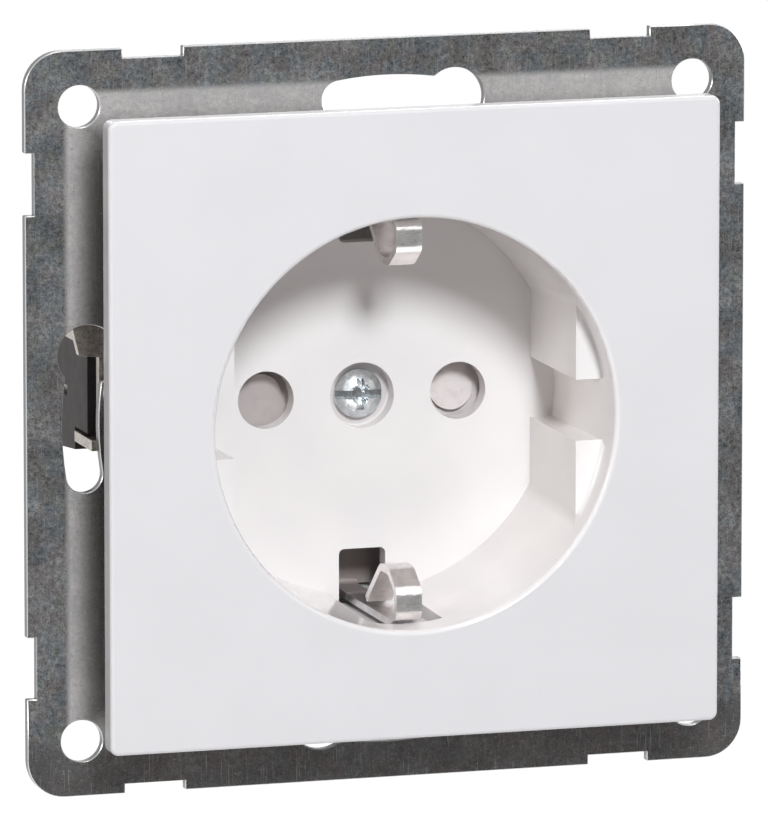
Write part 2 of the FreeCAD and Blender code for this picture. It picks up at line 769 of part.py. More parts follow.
spine_half = spine_width / 2
spine_reach = clip_leg - half_strip
tail_half = earth_tail_width / 2
tail_z = (terminal_start - strip_wall, terminal_start)
bush_back = spine_back + bush_length
thread_bore = cover_thread + thread_clear * 2
node("earth_strap", cut(
    "formed_strap",
    fuse(
        "strap_blank",
        *ring_of("clip", lower_clip, HALVES),
        block("spine", (-spine_half, spine_half), (retainer_back, spine_back), (-spine_reach, spine_reach)),
        rod("bush", "y", (0, 0), (spine_back, bush_back), bush_width),
        block("earth_tail", (-tail_half, tail_half), (retainer_back, fork_end), tail_z),
    ),
    rod("bush_thread", "y", (0, 0), (retainer_back - overrun, bush_back + overrun), thread_bore),
))

# Fork contacts: sprung leaves about each pin and a tail down to the terminal
fork_half = pin_width / 2 + contact_clear
leaf_back = fork_half + contact_wall
fork_front = bowl_floor + chamber_clear
flare_end = fork_front + contact_flare_length
tail_end = terminal_start + terminal_lap
fork = bar_of(
    "fork", "YZ_Plane",
    [
        (fork_front, fork_half + contact_flare),
        (flare_end, fork_half),
        (fork_end, fork_half),
        (fork_end, -fork_half),
        (flare_end, -fork_half),
        (fork_front, -(fork_half + contact_flare)),
        (fork_front, -(leaf_back + contact_flare)),
        (flare_end, -leaf_back),
        (fork_end, -leaf_back),
        (fork_end, -tail_end),
        (fork_back, -tail_end),
        (fork_back, leaf_back),
        (flare_end, leaf_back),
        (fork_front, leaf_back + contact_flare),
    ],
    contact_width,
)
node("line_contact", shifted("line_fork", fork, -pin_offset))
node("neutral_contact", shifted("neutral_fork", fork, pin_offset))

# Pillar terminals: brass blocks with a wire bore and a clamping screw from outside
terminal_half = terminal_width / 2
terminal_y = (terminal_front, fork_end)
clamp_y = (terminal_front + fork_end) / 2
clamp_bore = clamp_thread + thread_clear * 2
terminal = cut(
    "terminal",
    block("terminal_body", (-terminal_half, terminal_half), terminal_y, (-terminal_end, -terminal_start)),
    rod("terminal_bore", "y", (0, -wire_middle), (terminal_front - overrun, fork_end + overrun), wire_bore),
    rod("clamp_hole", "z", (0, clamp_y), (-terminal_end - overrun, -wire_middle), clamp_bore),
)
clamp_head_top = -terminal_end - clamp_lift
clamp_head_end = clamp_head_top - clamp_head_height
clamp_tip = -wire_middle - wire_bore / 2 - thread_clear
clamp_screw = cut(
    "clamp_screw",
    fuse(
        "clamp_blank",
        rod("clamp_shank", "z", (0, clamp_y), (clamp_head_top, clamp_tip), clamp_thread),
        rod("clamp_pan", "z", (0, clamp_y), (clamp_head_end, clamp_head_top), clamp_head),
    ),
    block(
        "clamp_slot", (-clamp_head, clamp_head), (clamp_y - recess_half, clamp_y + recess_half),
        (clamp_head_end - overrun, clamp_head_end + recess_depth),
    ),
)
for pole, offset in (("line", -pin_offset), ("neutral", pin_offset)):
    node(pole + "_terminal", shifted(pole + "_terminal", terminal, offset))
    node(pole + "_terminal_screw", shifted(pole + "_terminal_screw", clamp_screw, offset))
node("earth_terminal", turned("earth_terminal", terminal, 180))
node("earth_terminal_screw", turned("earth_terminal_screw", clamp_screw, 180))

# Contact cover: insulating disc between the earth strap and the fork contacts
cover_span = (spine_back - overrun, bowl_floor + overrun)
cover_pin_hole = rod("cover_pin_hole", "y", (pin_offset, 0), cover_span, retainer_pin_bore)
bowl_radius = well_outer + bowl_clear
tail_passage_x = (-tail_half - chamber_clear, tail_half + chamber_clear)
tail_passage_z = (tail_z[0] - chamber_clear, tail_z[1] + chamber_clear)
node("contact_cover", cut(
    "drilled_cover",
    rod("cover_disc", "y", (0, 0), (spine_back, bowl_floor), (bowl_radius - contact_cover_clear) * 2),
    rod("cover_bush_hole", "y", (0, 0), cover_span, bush_width + screw_clear * 2),
    block("cover_tail_slot", tail_passage_x, cover_span, tail_passage_z),
    *ring_of("cover_pin_hole", cover_pin_hole, HALVES),
))

# Base housing: round cup with flats for the claws, ears for the rivets and a terminal block
flat_half = base_flat / 2
base_round = base_width / 2
cup_back = bowl_floor + core_wall
cup = overlap(
    "cup",
    rod("cup_round", "y", (0, 0), (0, cup_back), base_width),
    block("cup_flats", (-flat_half, flat_half), (0, cup_back), (-base_round, base_round)),
)
block_x = (-(block_width / 2), block_width / 2)
block_z = (-(block_height / 2), block_height / 2)
block_body = doc.addObject("PartDesign::Body", "terminal_block")
block_sketch = outline(
    block_body, "block_outline", "XZ_Plane",
    [(block_x[0], block_z[0]), (block_x[1], block_z[0]), (block_x[1], block_z[1]), (block_x[0], block_z[1])],
    -base_back,
)
block_pad = feature(block_body, "Pad", "block_pad", block_sketch, base_back - bowl_floor)
rounded(block_body, "block_corners", block_pad, along_well, block_corner)
ear = rod("ear", "y", (ear_spot, ear_spot), (0, ear_depth), ear_width)
through_ear = (-overrun, ear_depth + overrun)
behind_ear = (ear_depth, cup_back + overrun)
ear_hole = rod("ear_hole", "y", (ear_spot, ear_spot), through_ear, rivet_bore)
rivet_seat = rod("rivet_seat", "y", (ear_spot, ear_spot), behind_ear, rivet_head + screw_clear * 2)
bowl = rod("bowl", "y", (0, 0), (-overrun, bowl_floor), bowl_radius * 2)
fork_room_half = contact_width / 2 + chamber_clear
fork_room_z = leaf_back + contact_flare + chamber_clear
past_block = block_z[1] + overrun
room_half = terminal_half + chamber_clear
terminal_room_y = (terminal_front - chamber_clear, chamber_back)
terminal_room_z = terminal_start - chamber_clear
fork_room = block(
    "fork_room", (-fork_room_half, fork_room_half), (bowl_floor - overrun, chamber_back),
    (-fork_room_z, fork_room_z),
)
fork_passage = block(
    "fork_passage", (-fork_room_half, fork_room_half), (fork_end - chamber_clear, chamber_back),
    (-terminal_room_z - overrun, 0),
)
terminal_room = block(
    "terminal_room", (-room_half, room_half), terminal_room_y, (-past_block, -terminal_room_z)
)
wire_entry = fuse(
    "wire_entry",
    rod("wire_hole", "y", (0, -wire_middle), (fork_end, base_back + overrun), wire_bore + screw_clear * 2),
    rod(
        "wire_mouth", "y", (0, -wire_middle), (base_back - wire_funnel, base_back),
        wire_bore + screw_clear * 2, wire_bore + (screw_clear + wire_funnel) * 2,
    ),
)
pole_room = fuse("pole_room", fork_room, fork_passage, terminal_room, wire_entry)
earth_room = fuse("earth_room", terminal_room, wire_entry)
tail_passage_y = (bowl_floor - overrun, chamber_back)
earth_passage = block("earth_passage", tail_passage_x, tail_passage_y, tail_passage_z)
bush_room_back = spine_back + cover_thread_end + overrun
bush_room = rod("bush_room", "y", (0, 0), (bowl_floor - overrun, bush_room_back), bush_width)
core_y = (base_back - core_depth, base_back + overrun)
middle_core_x = pin_offset - room_half - core_wall
middle_core = block(
    "middle_core", (-middle_core_x, middle_core_x), core_y,
    (block_z[0] + core_wall, -fork_room_z),
)
core_start = room_half + core_wall
core_width = (block_x[1] - core_wall * 2 - core_start) / 2
core_z = (fork_room_z + core_wall, block_z[1] - core_wall)
upper_core = block("upper_core", (core_start, core_start + core_width), core_y, core_z)
core_step = core_width + core_wall
core_mirror = -(core_start * 2 + core_width)
upper_cores = [
    upper_core,
    shifted("upper_core_outer", upper_core, core_step),
    shifted("upper_core_left", upper_core, core_mirror),
    shifted("upper_core_left_outer", upper_core, core_mirror - core_step),
]
node("base_housing", cut(
    "moulded_base",
    fuse("base_blank", cup, block_body, *ring_of("ear", ear)),
    bowl,
    *ring_of("ear_hole", ear_hole),
    *ring_of("rivet_seat", rivet_seat),
    shifted("line_room", pole_room, -pin_offset),
    shifted("neutral_room", pole_room, pin_offset),
    turned("earth_room_above", earth_room, 180),
    earth_passage,
    bush_room,
    middle_core,
    *upper_cores,
))

# Rivets that hold the frame to the ears of the base
rivet = fuse(
    "rivet",
    rod("rivet_shank", "y", (ear_spot, ear_spot), (sheet_front, ear_depth), rivet_width),
    rod("rivet_front", "y", (ear_spot, ear_spot), (sheet_front - rivet_head_height, sheet_front), rivet_head),
    rod("rivet_back", "y", (ear_spot, ear_spot), (ear_depth, ear_depth + rivet_head_height), rivet_head),
)
for corner, angle in zip(("upper_right", "lower_right", "lower_left", "upper_left"), QUARTERS):
    node(corner + "_rivet", turned(corner + "_rivet", rivet, angle))

# Left claw: heel under the screw, finger along the base that widens to a split, toothed tip,
# and trunnions in the bracket
pivot_x = -claw_pivot
half_claw = claw_wall / 2
heel_front = claw_pivot_depth - half_claw
heel_back = claw_pivot_depth + half_claw
finger_end = claw_pivot_depth + claw_length
finger_out = pivot_x - half_claw
finger_in = pivot_x + half_claw
heel_end = pivot_x + claw_heel
tip_out = finger_out - claw_tip_flare
claw_low = claw_middle - claw_width / 2
claw_high = claw_middle + claw_width / 2
bracket_y = (0, bracket_depth)
bracket_low = claw_low - bracket_clear - sheet_wall
bracket_high = claw_high + bracket_clear + sheet_wall
finger_root = bracket_y[1] + claw_shoulder_gap
bent_claw = bar_of(
    "bent_claw", "XY_Plane",
    [
        (heel_end, heel_front),
        (finger_out, heel_front),
        (finger_out, finger_end - claw_tip),
        (tip_out, finger_end),
        (finger_in - claw_tip_flare, finger_end),
        (finger_in, finger_end - claw_tip),
        (finger_in, heel_back),
        (heel_end, heel_back),
    ],
    claw_width + claw_tip_spread * 2,
    middle=claw_middle,
)
claw_plan = bar_of(
    "claw_plan", "YZ_Plane",
    [
        (heel_front, claw_low),
        (finger_root, claw_low),
        (finger_root, claw_low - claw_spread),
        (finger_end, claw_low - claw_tip_spread),
        (finger_end, claw_high),
        (heel_front, claw_high),
    ],
    heel_end - tip_out,
    middle=(heel_end + tip_out) / 2,
)
across_finger = (tip_out - overrun, finger_in + overrun)
slit_y = (finger_end - claw_slit_length, finger_end + overrun)
tooth_middle = claw_middle - tooth_pitch / 2
slit_z = (tooth_middle - claw_slit / 2, tooth_middle + claw_slit / 2)
tooth_gaps = [
    rod("tooth_gap_%d" % index, "x", (finger_end, tooth_middle + tooth_pitch * step), across_finger, tooth_gap)
    for index, step in enumerate(TOOTH_STEPS)
]
left_claw = fuse(
    "toothed_claw",
    cut(
        "claw_sheet",
        overlap("claw_blank", bent_claw, claw_plan),
        block("claw_slit", across_finger, slit_y, slit_z),
        *tooth_gaps,
    ),
    rod("trunnions", "z", (pivot_x, claw_pivot_depth), (bracket_low, bracket_high), trunnion_width),
)
node("left_claw", left_claw)
node("right_claw", turned("right_claw", left_claw, 180))

# Claw bracket: folded sheet behind the frame that carries the trunnions and the claw screw,
# with a lug that shows in the keyhole
lug_body = doc.addObject("PartDesign::Body", "lug")
lug_sketch = outline(
    lug_body, "lug_outline", "XZ_Plane",
    [
        (-lug_reach, bracket_high + lug_rise),
        (-lug_knee, bracket_high - lug_knee_drop),
        (-bracket_inner, bracket_high - lug_drop),
        (-bracket_inner, bracket_high + lug_rise),
    ],
    -sheet_wall,
)
feature(lug_body, "Pad", "lug_pad", lug_sketch, sheet_wall)
upper_cheek_z = (bracket_high - sheet_wall, bracket_high)
lower_cheek_z = (bracket_low, bracket_low + sheet_wall)
lower_cheek_reach = bracket_outer + half_claw
through_bracket = (bracket_low - overrun, bracket_high + overrun)
trunnion_bore = trunnion_width + trunnion_clear * 2
left_bracket = cut(
    "folded_bracket",
    fuse(
        "bracket_blank",
        block("web", (-bracket_outer, -bracket_inner), (0, sheet_wall), (bracket_low, bracket_high)),
        lug_body,
        block("upper_cheek", (-bracket_reach, -bracket_inner), bracket_y, upper_cheek_z),
        block("lower_cheek", (-lower_cheek_reach, -bracket_inner), bracket_y, lower_cheek_z),
    ),
    rod("trunnion_hole", "z", (pivot_x, claw_pivot_depth), through_bracket, trunnion_bore),
    claw_screw_hole,
)
node("left_claw_bracket", left_bracket)
node("right_claw_bracket", turned("right_claw_bracket", left_bracket, 180))

# Claw screw: presses on the heel of the claw and so spreads its finger
claw_head_front = sheet_front - claw_screw_head_height
claw_screw_tip = heel_front - claw_screw_gap
left_claw_screw = cut(
    "slotted_claw_screw",
    fuse(
        "claw_screw_blank",
        rod("claw_screw_shank", "y", claw_screw_spot, (sheet_front, claw_screw_tip), claw_screw_width),
        rod("claw_screw_pan", "y", claw_screw_spot, (claw_head_front, sheet_front), claw_screw_head),
    ),
    block(
        "claw_screw_slot", (-claw_screw_offset - claw_screw_head, -claw_screw_offset + claw_screw_head),
        (claw_head_front - overrun, claw_head_front + recess_depth),
        (claw_middle - recess_half, claw_middle + recess_half),
    ),
)
node("left_claw_screw", left_claw_screw)
node("right_claw_screw", turned("right_claw_screw", left_claw_screw, 180))

# Every object has to come out sound before anything is written
doc.recompute()
for thing in doc.Objects:
    if "Invalid" in thing.State or "Error" in thing.State:
        raise RuntimeError("%s did not build: %s" % (thing.Name, thing.State))
for label, piece in nodes.items():
    if piece.Shape.isNull() or not piece.Shape.isValid() or len(piece.Shape.Solids) != 1:
        raise RuntimeError("%s has no sound solid" % label)

os.makedirs("parts", exist_ok=True)
for label, piece in nodes.items():
    piece.Shape.Solids[0].exportStep("parts/%s.step" % label)
    box = piece.Shape.BoundBox
    print("%-22s %9.2f mm3  x %6.2f %6.2f  y %6.2f %6.2f  z %6.2f %6.2f" % (
        label, piece.Shape.Volume, box.XMin, box.XMax, box.YMin, box.YMax, box.ZMin, box.ZMax))
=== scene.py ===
import math

import bmesh
import bpy
from mathutils import Matrix, Vector


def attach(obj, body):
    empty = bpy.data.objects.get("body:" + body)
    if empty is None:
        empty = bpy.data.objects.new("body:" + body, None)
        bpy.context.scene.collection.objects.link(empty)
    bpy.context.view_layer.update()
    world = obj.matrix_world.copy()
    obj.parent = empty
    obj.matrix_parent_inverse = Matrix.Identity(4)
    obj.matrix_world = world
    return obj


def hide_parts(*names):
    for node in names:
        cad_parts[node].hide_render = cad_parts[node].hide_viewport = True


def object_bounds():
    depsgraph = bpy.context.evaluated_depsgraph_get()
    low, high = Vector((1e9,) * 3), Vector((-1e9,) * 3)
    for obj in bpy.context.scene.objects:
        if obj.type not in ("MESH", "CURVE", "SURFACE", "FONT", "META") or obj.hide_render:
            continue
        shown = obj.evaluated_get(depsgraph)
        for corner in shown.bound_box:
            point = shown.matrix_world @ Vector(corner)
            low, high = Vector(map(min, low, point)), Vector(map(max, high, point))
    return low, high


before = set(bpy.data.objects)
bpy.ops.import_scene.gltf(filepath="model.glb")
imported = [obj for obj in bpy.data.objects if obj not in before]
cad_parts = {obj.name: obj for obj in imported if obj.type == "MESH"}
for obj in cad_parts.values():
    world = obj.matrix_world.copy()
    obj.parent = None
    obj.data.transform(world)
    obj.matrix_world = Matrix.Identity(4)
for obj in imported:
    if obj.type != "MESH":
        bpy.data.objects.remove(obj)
cad_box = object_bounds()


# Base housing and contact cover: the insulating cup behind the frame with the terminal block
# on its back, and the disc over the contacts. Light grey mouldings with a fine satin skin.
MM = 0.001


class Wire:
    """A number or colour carried by a shader socket. Sums and products of it add Math nodes."""

    def __init__(self, shading, socket):
        self.shading = shading
        self.socket = socket

    def maths(self, operation, *values):
        return self.shading.node("ShaderNodeMath", {"operation": operation}, dict(enumerate(values)))

    def __add__(self, other):
        return self.maths("ADD", self, other)

    def __radd__(self, other):
        return self.maths("ADD", other, self)

    def __sub__(self, other):
        return self.maths("SUBTRACT", self, other)

    def __rsub__(self, other):
        return self.maths("SUBTRACT", other, self)

    def __mul__(self, other):
        return self.maths("MULTIPLY", self, other)

    def __rmul__(self, other):
        return self.maths("MULTIPLY", other, self)

    def __abs__(self):
        return self.maths("ABSOLUTE", self)

    def root(self):
        return self.maths("SQRT", self)

    def larger(self, other):
        return self.maths("MAXIMUM", self, other)

    def above(self, low, high):
        """0 under low, 1 over high, with a smooth step between them. It falls where high is the lower."""
        settings = {"interpolation_type": "SMOOTHSTEP"}
        sockets = {"Value": self, "From Min": low, "From Max": high}
        return self.shading.node("ShaderNodeMapRange", settings, sockets)

    def about(self, middle, spread):
        """Noise from 0 to 1 as a value about the middle, half the spread to each side."""
        return middle + (self - 0.5) * spread


class Shading:
    """The nodes of a material or of the world."""

    def __init__(self, tree):
        self.tree = tree

    def put(self, socket, value):
        """Link a wire to a socket, or set a plain value on it."""
        if isinstance(value, Wire):
            self.tree.links.new(value.socket, socket)
        elif isinstance(value, tuple) and socket.type == "RGBA":
            socket.default_value = (*value, 1)
        else:
            socket.default_value = value

    def node(self, kind, settings, sockets, output=0):
        """A new node: its settings are set first, then the values or links of its sockets."""
        made = self.tree.nodes.new(kind)
        for name, value in settings.items():
            setattr(made, name, value)
        for name, value in sockets.items():
            self.put(made.inputs[name], value)
        return Wire(self, made.outputs[output])


class Finish(Shading):
    """A material under construction, with the object's own coordinates in metres."""

    def __init__(self, name):
        self.material = bpy.data.materials.new(name)
        self.material.use_nodes = True
        super().__init__(self.material.node_tree)
        self.shader = self.tree.nodes["Principled BSDF"]
        self.place = self.node("ShaderNodeTexCoord", {}, {}, "Object")

    def axis(self, name):
        """One coordinate of the place on the object, in metres."""
        return self.node("ShaderNodeSeparateXYZ", {}, {0: self.place}, name)

    def grain(self, size, stretch=(1, 1, 1), turn=(0, 0, 0), detail=3.0, seed=0.0):
        """Noise from 0 to 1 whose blotches are about size metres wide, times the stretch, turned."""
        scale = tuple(1 / (size * part) for part in stretch)
        sockets = {0: self.place, "Location": (seed, seed, seed), "Rotation": turn, "Scale": scale}
        spot = self.node("ShaderNodeMapping", {"vector_type": "POINT"}, sockets)
        return self.node("ShaderNodeTexNoise", {}, {"Vector": spot, "Scale": 1.0, "Detail": detail})

    def mix(self, factor, first, second):
        """A colour between two, by a factor from 0 to 1."""
        sockets = {"Factor": factor, 6: first, 7: second}
        return self.node("ShaderNodeMix", {"data_type": "RGBA"}, sockets, 2)

    def bump(self, height, depth):
        """A surface relief whose height from 0 to 1 stands for depth metres."""
        return self.node("ShaderNodeBump", {}, {"Height": height, "Strength": 1.0, "Distance": depth})

    def surface(self, sockets):
        """Set or link the sockets of the material's own shader."""
        for name, value in sockets.items():
            self.put(self.shader.inputs[name], value)
        return self.material


PLASTIC_CLOUD = 9 * MM
SATIN_SKIN = 0.25 * MM


def moulded(name, colour, gloss, relief):
    """Injection-moulded plastic: even colour, a faint cloud in it and a fine skin."""
    finish = Finish(name)
    cloud = finish.grain(PLASTIC_CLOUD, detail=2.0)
    skin = finish.grain(SATIN_SKIN, detail=2.0, seed=3.0)
    darker = tuple(0.95 * part for part in colour)
    return finish.surface({
        "Base Color": finish.mix(cloud.above(0.35, 0.65), colour, darker),
        "Roughness": skin.about(gloss, 0.1),
        "Normal": finish.bump(skin, relief),
    })


WELD = 0.002 * MM
FLAT_TURN = math.radians(0.5)
SHARP_TURN = math.radians(35)
SMOOTH_TURN = math.radians(30)


def eased(material, edge, names, body="socket_body"):
    """Each CAD node as a piece of its own with its outer edges eased: its mesh is merged, flat
    triangles are joined, and each edge that turns outwards by more than SHARP_TURN is chamfered."""
    for name in names:
        work = bmesh.new()
        work.from_mesh(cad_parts[name].data)
        bmesh.ops.remove_doubles(work, verts=work.verts, dist=WELD)
        bmesh.ops.dissolve_limit(work, angle_limit=FLAT_TURN, verts=work.verts, edges=work.edges)
        sharp = [line for line in work.edges if line.is_convex and line.calc_face_angle() > SHARP_TURN]
        bmesh.ops.bevel(
            work, geom=sharp, offset=edge, segments=1, profile=0.5, affect="EDGES", clamp_overlap=True,
        )
        mesh = bpy.data.meshes.new("finished_" + name)
        work.to_mesh(mesh)
        work.free()
        mesh.shade_smooth()
        mesh.set_sharp_from_angle(angle=SMOOTH_TURN)
        mesh.materials.append(material)
        piece = bpy.data.objects.new("finished_" + name, mesh)
        bpy.context.scene.collection.objects.link(piece)
        piece.modifiers.new("even_shading", "WEIGHTED_NORMAL").keep_sharp = True
        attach(piece, body)
        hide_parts(name)


base_plastic = moulded("base_plastic", colour=(0.6, 0.605, 0.59), gloss=0.45, relief=0.006 * MM)
eased(base_plastic, 0.22 * MM, ["base_housing", "contact_cover"])


# Terminals and contacts: brass pillar blocks and bronze forks in the chambers of the base,
# each block drilled for its wire and tapped for one clamping screw.
DRAWN_LINE = 0.1 * MM


def struck_metal(name, dark, light, polish, size, line=(1, 1, 18), relief=0.002 * MM):
    """Bare or plated metal: a mottled colour, drawn lines, an uneven polish and a slight waviness."""
    finish = Finish(name)
    cloud = finish.grain(size, detail=4.0)
    lines = finish.grain(DRAWN_LINE, stretch=line, detail=2.0, seed=5.0)
    tone = cloud * 0.75 + lines * 0.25
    return finish.surface({
        "Base Color": finish.mix(tone.above(0.3, 0.7), dark, light),
        "Metallic": 1.0,
        "Roughness": lines.about(polish, 0.15),
        "Normal": finish.bump(lines * 0.1 + cloud * 0.9, relief),
    })


brass = struck_metal(
    "terminal_brass", dark=(0.5, 0.33, 0.12), light=(0.72, 0.52, 0.22), polish=0.3, size=2.5 * MM,
)
bronze = struck_metal(
    "contact_bronze", dark=(0.5, 0.27, 0.13), light=(0.68, 0.4, 0.22), polish=0.28, size=3.0 * MM,
)
eased(brass, 0.15 * MM, ["line_terminal", "neutral_terminal", "earth_terminal"])
eased(bronze, 0.06 * MM, ["line_contact", "neutral_contact"])


# Screws and rivets: turned or headed steel with a bright zinc plate. The screws clamp the wires
# and push the claws out, and the rivets hold the frame to the base.
bright_zinc = struck_metal(
    "bright_zinc", dark=(0.58, 0.62, 0.64), light=(0.86, 0.89, 0.91), polish=0.18, size=0.5 * MM,
    line=(3, 3, 3), relief=0.03 * MM,
)
eased(
    bright_zinc, 0.1 * MM,
    ["line_terminal_screw", "neutral_terminal_screw", "earth_terminal_screw", "left_claw_screw",
     "right_claw_screw", "upper_left_rivet", "upper_right_rivet", "lower_left_rivet", "lower_right_rivet"],
)


# Support frame and claw brackets: flat pressed steel sheet, hot-dip galvanised. The zinc is dull and
# mottled, with specks and the scratches of handling. On the frame, cut faces are dark, partly raw steel
# and partly painted shade, and chamfers bright, partly burrs and partly painted highlight. Inside the
# rim the sheet has a painted reflection of the plate, painted shade under the plate, and the plate's
# painted shadow on the lower rim.
# The bright tone is bare zinc on burrs, specks and scratches, and on chamfers also a painted highlight.
# The cut-face tone is dark steel and also painted shade.
BURR_AND_EDGE_HIGHLIGHT = (0.5, 0.505, 0.51)
CUT_FACE_AND_SHADE = (0.13, 0.13, 0.132)
# Painted shade on the sheet under the plate.
UNDER_PLATE_SHADE = (0.17, 0.16, 0.155)
# The plate's painted shadow on the front of the lower rim.
LOW_RIM_PLATE_SHADOW = (0.15, 0.132, 0.126)
RIM_START = (30.9 * MM, 31.7 * MM)
# Span of the painted shade under the plate. The top band's shift below belongs to it.
UNDER_PLATE_SHADE_SPAN = (31.2 * MM, 27.4 * MM)
TOP_BAND_SHIFT = 1.2 * MM
# Span of the plate's painted shadow on the lower rim.
LOW_RIM_SHADOW_SPAN = (-28.5 * MM, -31.5 * MM)
SHEET_BACK = (-0.7 * MM, -0.3 * MM)
# Facings that get the painted edge highlight, and the painted shade of cut faces.
EDGE_HIGHLIGHT_FACING = (0.9, 0.75)
CUT_SHADE_FACING = (0.6, 0.4)
SLANT_SCRATCHES = (0, 0.5, 0)
STEEP_SCRATCHES = (0, -1.1, 0)


def galvanised(name, dark, blue, brown, olive, light, reflection_tone=None):
    """Zinc skin: bluish, brownish and olive patches between a dark and a light tone, bright specks,
    and scratches on two slants. With a reflection tone it is the flat sheet's: inside the rim the
    front is painted paler, a painted reflection of the plate, with painted shade under the plate;
    the front of the lower rim is painted browner, the plate's painted shadow; a face turned away
    from the sheet's own is dark, partly cut steel and partly painted shade; and the chamfer between
    is bright, partly burr and partly painted highlight."""
    finish = Finish(name)
    cloud = finish.grain(3.0 * MM, detail=3.0)
    blotch = finish.grain(0.5 * MM, detail=5.0, seed=6.0)
    fine = finish.grain(0.15 * MM, detail=3.0, seed=2.0)
    hue = finish.grain(1.8 * MM, detail=3.0, seed=12.0)
    moss = finish.grain(1.5 * MM, detail=3.0, seed=21.0)
    speck = finish.grain(0.24 * MM, detail=1.0, seed=9.0).above(0.67, 0.74)
    slant = finish.grain(0.12 * MM, stretch=(1, 1, 30), turn=SLANT_SCRATCHES, detail=2.0, seed=4.0)
    steep = finish.grain(0.12 * MM, stretch=(1, 1, 34), turn=STEEP_SCRATCHES, detail=2.0, seed=7.0)
    scratch = slant.above(0.63, 0.75).larger(steep.above(0.64, 0.76))
    mottle = blotch * 0.4 + fine * 0.3 + cloud * 0.3
    tint = finish.mix(hue.above(0.42, 0.6), blue, brown)
    tint = finish.mix(moss.above(0.5, 0.66) * 0.8, tint, olive)
    zinc = finish.mix(mottle.above(0.48, 0.68), tint, light)
    zinc = finish.mix(mottle.above(0.52, 0.34), zinc, dark)
    # The flat sheet's painted zones: a painted reflection inside the rim, painted shade under the plate,
    # and the plate's painted shadow on the lower rim.
    if reflection_tone is not None:
        aside = abs(finish.axis("X"))
        upward = finish.axis("Z")
        behind = finish.axis("Y").above(*SHEET_BACK)
        # Where the plate's painted shadow falls on the front of the lower rim.
        low = upward.above(*LOW_RIM_SHADOW_SPAN) * (1 - behind)
        # Inside the rim the front is painted paler, a little mottled: a painted reflection of the plate.
        smooth = finish.mix(mottle.above(0.4, 0.6) * 0.5, reflection_tone, light)
        # Painted shade on the sheet under the plate.
        under = aside.larger(abs(upward) + TOP_BAND_SHIFT).above(*UNDER_PLATE_SHADE_SPAN)
        smooth = finish.mix(under, smooth, UNDER_PLATE_SHADE)
        rim = aside.larger(abs(upward)).above(*RIM_START).larger(low).larger(behind)
        zinc = finish.mix(rim, smooth, finish.mix(low * 0.65, zinc, LOW_RIM_PLATE_SHADOW))
    zinc = finish.mix((speck + scratch) * 0.55, zinc, BURR_AND_EDGE_HIGHLIGHT)
    # Chamfers get a painted highlight as well as bright burr, and cut faces get painted shade as well as
    # dark steel.
    if reflection_tone is not None:
        facing = finish.node("ShaderNodeTexCoord", {}, {}, "Normal")
        flatness = abs(finish.node("ShaderNodeSeparateXYZ", {}, {0: facing}, "Y"))
        zinc = finish.mix(flatness.above(*EDGE_HIGHLIGHT_FACING), zinc, BURR_AND_EDGE_HIGHLIGHT)
        zinc = finish.mix(flatness.above(*CUT_SHADE_FACING), zinc, CUT_FACE_AND_SHADE)
    return finish.surface({
        "Base Color": zinc,
        "Metallic": blotch.about(0.85, 0.2),
        "Roughness": fine.about(0.3, 0.2),
        "Normal": finish.bump(mottle, 0.008 * MM),
    })


# The last tone is the paler painted reflection of the plate inside the rim.
zinc_sheet = galvanised(
    "zinc_sheet", dark=(0.09, 0.092, 0.092), blue=(0.225, 0.245, 0.262), brown=(0.26, 0.238, 0.235),
    olive=(0.24, 0.246, 0.218), light=(0.52, 0.53, 0.53), reflection_tone=(0.86, 0.83, 0.81),
)
bracket_zinc = galvanised(
    "bracket_zinc", dark=(0.2, 0.18, 0.155), blue=(0.38, 0.35, 0.31), brown=(0.42, 0.37, 0.325),
    olive=(0.36, 0.33, 0.265), light=(0.58, 0.54, 0.49),
)
eased(zinc_sheet, 0.08 * MM, ["support_frame"])
eased(bracket_zinc, 0.12 * MM, ["left_claw_bracket", "right_claw_bracket"])


# Spreading claws: hardened steel with a dark phosphate skin. Each hangs on its pivot in a bracket
# and swings out to grip the wall of the box.
def phosphated(name, dark, worn):
    """Matt dark skin on steel: a fine crystal grain and soft clouds where it has worn thinner."""
    finish = Finish(name)
    cloud = finish.grain(1.6 * MM, detail=4.0)
    crystal = finish.grain(0.12 * MM, detail=2.0, seed=5.0)
    return finish.surface({
        "Base Color": finish.mix((cloud * 0.6 + crystal * 0.4).above(0.35, 0.7), dark, worn),
        "Roughness": crystal.about(0.6, 0.2),
        "Specular IOR Level": 0.25,
        "Normal": finish.bump(crystal, 0.006 * MM),
    })


claw_steel = phosphated("claw_steel", dark=(0.03, 0.026, 0.026), worn=(0.062, 0.054, 0.053))
eased(claw_steel, 0.12 * MM, ["left_claw"], "left_claw_arm")
eased(claw_steel, 0.12 * MM, ["right_claw"], "right_claw_arm")


# Shutter, its spring and its retainer: warm grey mouldings behind the floor of the well,
# with a small coil of spring wire.
MIDLINE = (-2 * MM, 2 * MM)


def smudged_moulding_with_painted_light(name, left, right):
    """Satin plastic with soft smudges, painted darker on the left side as painted shade and paler on the
    right as painted light.
    """
    finish = Finish(name)
    smudge = finish.grain(1.2 * MM, detail=3.0, seed=8.0)
    skin = finish.grain(SATIN_SKIN, detail=2.0, seed=3.0)
    # Painted shade on the left and painted light on the right, split at the midline.
    colour = finish.mix(finish.axis("X").above(*MIDLINE), left, right)
    dull = tuple(0.8 * part for part in left)
    return finish.surface({
        "Base Color": finish.mix(smudge.above(0.45, 0.75) * 0.4, colour, dull),
        "Roughness": skin.about(0.35, 0.1),
        "Normal": finish.bump(skin, 0.004 * MM),
    })


